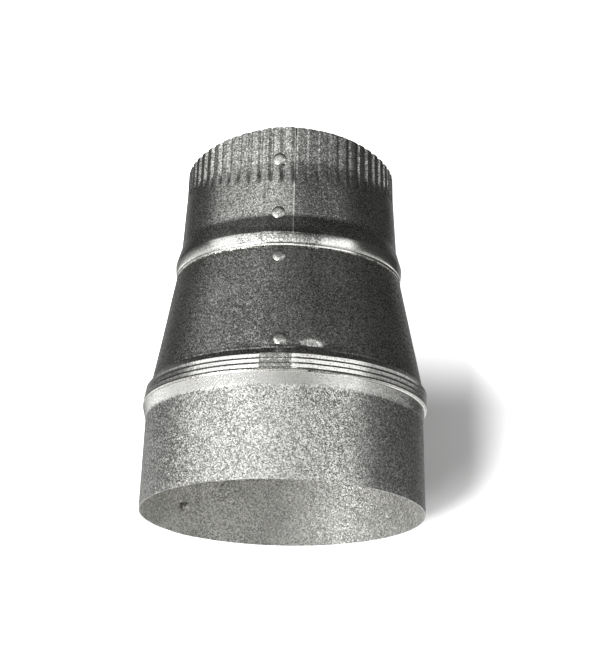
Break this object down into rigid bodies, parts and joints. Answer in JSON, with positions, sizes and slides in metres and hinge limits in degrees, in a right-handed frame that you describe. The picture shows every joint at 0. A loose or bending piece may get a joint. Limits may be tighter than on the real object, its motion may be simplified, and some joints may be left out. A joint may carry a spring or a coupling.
{
  "type": "duct reducer",
  "caption": "Round galvanised duct reducer: plain female collar, riveted taper and crimped male collar, joined by rolled lock joints.",
  "frame": {"origin": "centre of the large mouth, in the plane that it stands on", "axes": "+Z along the duct's axis from the large mouth to the small one; -Y towards the riveted seams of the taper and the small collar"},
  "size_m": [0.1303, 0.1308, 0.1688],
  "materials": {
    "galvanised_sheet": "satin zinc coating with a fine grain",
    "rivet": "plain, slightly dull",
    "mandrel": "plain steel, broken off"
  },
  "bodies": {
    "root": {"large_collar": "galvanised_sheet", "taper_cone": "galvanised_sheet", "small_collar": "galvanised_sheet", "seam_rivets": "rivet", "rivet_mandrels": "mandrel"}
  },
  "joints": []
}
